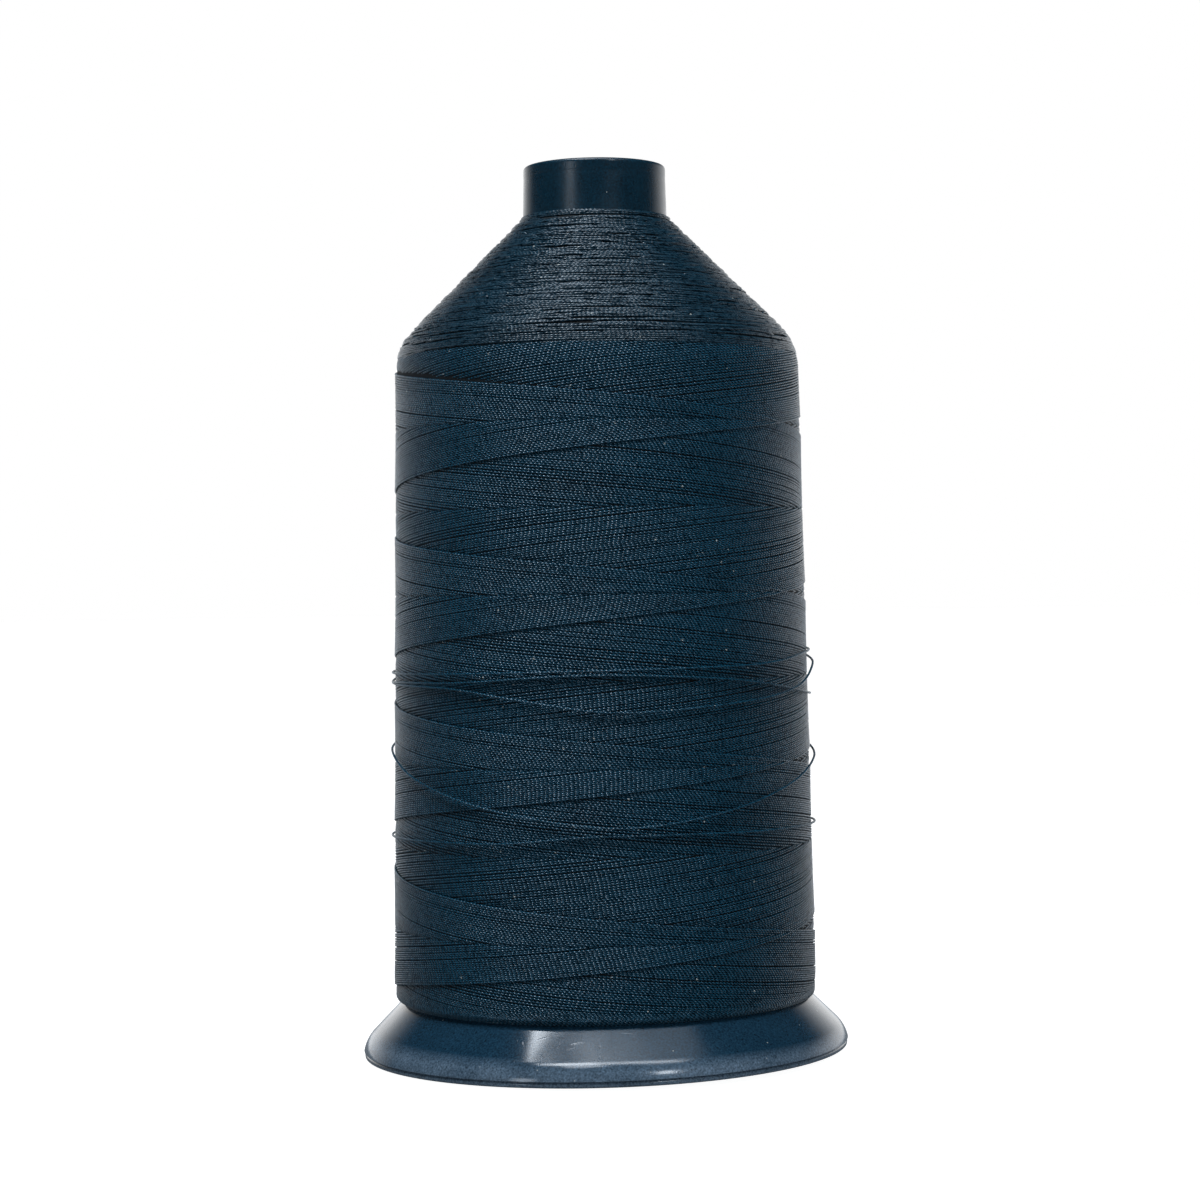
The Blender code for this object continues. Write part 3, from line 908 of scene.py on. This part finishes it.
def studio_floor():
    """A wide plain white floor that clips to white to look at, and lights the spool far less."""
    mesh = bpy.data.meshes.new("studio_floor")
    bm = bmesh.new()
    bmesh.ops.create_circle(bm, cap_ends=True, radius=FLOOR_RADIUS, segments=96)
    bm.to_mesh(mesh)
    bm.free()
    floor = bpy.data.objects.new("studio_floor", mesh)
    floor.location.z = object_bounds()[0][2] - 0.05 * MM
    bpy.context.scene.collection.objects.link(floor)
    material, tree, shader = new_material("white_floor", Roughness=0.8)
    shader.inputs["Base Color"].default_value = grey(0.5)
    shader.inputs["Emission Color"].default_value = WHITE
    shader.inputs["Emission Strength"].default_value = 0.97
    place = add_node(tree, "ShaderNodeTexCoord").outputs["Object"]
    depth = add_node(tree, "ShaderNodeSeparateXYZ", [("Vector", place)]).outputs["Y"]
    far = math_node(tree, "MULTIPLY_ADD", marks_node(tree, depth, 0.08, 0.60), FAR_FLOOR_GAIN, 1.0)
    dim = add_node(tree, "ShaderNodeEmission", [("Color", FLOOR_GLOW), ("Strength", far)])
    tree.links.new(camera_switch(tree, shader, dim), tree.nodes["Material Output"].inputs["Surface"])
    mesh.materials.append(material)
    floor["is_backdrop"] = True


def studio_world():
    """White to look at, and for light and reflections a dim room with a white wall at the back."""
    world = bpy.data.worlds.new("studio")
    bpy.context.scene.world = world
    world.use_nodes = True
    tree = world.node_tree
    tree.nodes.clear()
    ray = add_node(tree, "ShaderNodeTexCoord").outputs["Generated"]
    ray_x, ray_y, ray_z = add_node(tree, "ShaderNodeSeparateXYZ", [("Vector", ray)]).outputs
    turned = math_node(tree, "MULTIPLY", ray_y, math.cos(BACK_WALL_TURN))
    turned = math_node(tree, "MULTIPLY_ADD", ray_x, math.sin(BACK_WALL_TURN), turned)
    back_wall = math_node(
        tree, "MULTIPLY", marks_node(tree, turned, 0.37, 0.85), marks_node(tree, ray_z, 0.44, 0.18)
    )
    band = math_node(
        tree, "MULTIPLY", marks_node(tree, ray_z, 0.12, 0.30), marks_node(tree, ray_z, 0.85, 0.60)
    )
    front_wall = math_node(tree, "MULTIPLY", marks_node(tree, ray_y, -0.05, -0.40), band)
    walls = math_node(tree, "MULTIPLY", front_wall, FRONT_WALL_GLOW)
    walls = math_node(tree, "MULTIPLY_ADD", back_wall, BACK_WALL_GLOW, walls)
    room = add_node(tree, "ShaderNodeBackground", [("Color", ROOM_GLOW), ("Strength", 1.0)])
    glow = add_node(tree, "ShaderNodeBackground", [("Color", WHITE), ("Strength", walls)])
    lit = add_node(tree, "ShaderNodeAddShader", [(0, room.outputs[0]), (1, glow.outputs[0])])
    seen = add_node(tree, "ShaderNodeBackground", [("Color", WHITE), ("Strength", 1.0)])
    add_node(tree, "ShaderNodeOutputWorld", [("Surface", camera_switch(tree, seen, lit))])


def studio_lights():
    """A large soft light overhead with brighter places in it, and two lamps in front."""
    overhead = {
        "overhead_softbox": ((0.02, -0.17, 1.05), (0.92, 0.56), 2.2),
        "softbox_hot_edge": ((0.02, -0.33, 1.03), (0.92, 0.15), 4.4),
        "softbox_hot_spot": ((-0.185, -0.42, 1.02), (0.27, 0.34), 2.4),
        "softbox_left_edge": ((-0.30, -0.05, 1.04), (0.10, 0.30), 1.9),
    }
    for name, (place, size, power) in overhead.items():
        area_light(name, place, (place[0], place[1], 0.0), size, power)
    middle = (0.0, 0.0, 0.09)
    area_light("front_left_lamp", (-0.76, -0.93, 0.36), middle, (0.20, 0.26), 0.85)
    area_light("front_right_lamp", (0.60, -1.06, 0.82), middle, (0.20, 0.20), 2.5)


def studio_camera():
    """The photo's camera. Its roll takes up the lean of the whole spool in the picture."""
    camera = bpy.data.cameras.new("camera")
    camera.sensor_width = 36.0
    camera.lens = CAMERA_LENS
    obj = bpy.data.objects.new("camera", camera)
    obj.location = CAMERA_PLACE
    obj.rotation_euler = (math.radians(90 - CAMERA_DIP), math.radians(CAMERA_ROLL), 0.0)
    bpy.context.scene.collection.objects.link(obj)
    bpy.context.scene.camera = obj
    bpy.context.scene.view_settings.view_transform = "Standard"


# ---------------------------------------------------------------- build

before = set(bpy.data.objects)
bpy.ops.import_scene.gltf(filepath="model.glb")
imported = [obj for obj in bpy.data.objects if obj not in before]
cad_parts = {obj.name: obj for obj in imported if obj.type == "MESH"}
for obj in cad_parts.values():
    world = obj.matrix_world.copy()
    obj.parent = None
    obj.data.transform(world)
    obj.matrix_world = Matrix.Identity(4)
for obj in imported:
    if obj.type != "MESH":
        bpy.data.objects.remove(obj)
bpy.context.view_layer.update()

winding = Outline("thread_winding")
barrel = Outline("spool_barrel")
foot = Outline("spool_foot")
foot_cone_sum = float(np.interp(FOOT_CONE_LEVEL, foot.heights, foot.radii)) + FOOT_CONE_LEVEL
shoulder = winding.path_at_height(SHOULDER)
cone_top = winding.length
collar_foot = barrel.path_at_height(winding.heights[-1])

thread = thread_material("bonded_thread", THREAD_LIGHT, BODY_GLINT_SCALE, (0.5, 1.6), 1.0)
# The cone's copy of the thread has painted shade: the same thread in a darker colour.
cone_thread_painted_shade = thread_material("bonded_thread_on_cone_painted_shade", CONE_LIGHT_PAINTED_SHADE, CONE_GLINT_SCALE, (0.15, 1.85), 0.45)
shaded_thread = bed_material()
random = np.random.default_rng(SEED)

winding_bed()
wound_family("rising_turns", 1, random)
wound_family("falling_turns", -1, random)
# The cone's under-turns take the painted-shade material, so the gaps between the cone's turns show dark.
level_helix(
    "cone_under_turns", shaded_thread, winding, (shoulder, cone_top),
    0.50 * MM, -0.36 * MM, 0.05 * MM, random,
)
level_helix(
    "cone_turns", cone_thread_painted_shade, winding, (shoulder, cone_top - 0.1 * MM),
    0.62 * MM, -0.03 * MM, 0.15 * MM, random,
)
highest = (shoulder, cone_top - 0.8 * MM)
turning_arcs("cone_short_arcs", 460, (6, 22), (0.05, 0.5), (0.00, 0.18), highest, random)
turning_arcs("cone_long_arcs", 90, (40, 110), (0.6, 3.2), (0.06, 0.20), highest, random)
level_helix(
    "shoulder_turns", cone_thread_painted_shade, winding, (shoulder - 0.9 * MM, shoulder + 0.7 * MM),
    THREAD_PITCH, 0.16 * MM, 0.02 * MM, random,
)
level_helix(
    "lower_edge_turns", thread, winding, (-1.2 * MM, 1.6 * MM),
    THREAD_PITCH, 0.0, 0.03 * MM, random,
)
level_helix(
    "collar_turns_inner", cone_thread_painted_shade, barrel, (collar_foot - 0.3 * MM, collar_foot + 0.9 * MM),
    0.34 * MM, 0.42 * MM, 0.03 * MM, random,
)
level_helix(
    "collar_turns_outer", cone_thread_painted_shade, barrel, (collar_foot - 0.3 * MM, collar_foot + 0.5 * MM),
    0.34 * MM, 0.76 * MM, 0.03 * MM, random,
)
loose_turns(random)
moulded_foot()
moulded_barrel()

studio_floor()
studio_world()
studio_lights()
studio_camera()
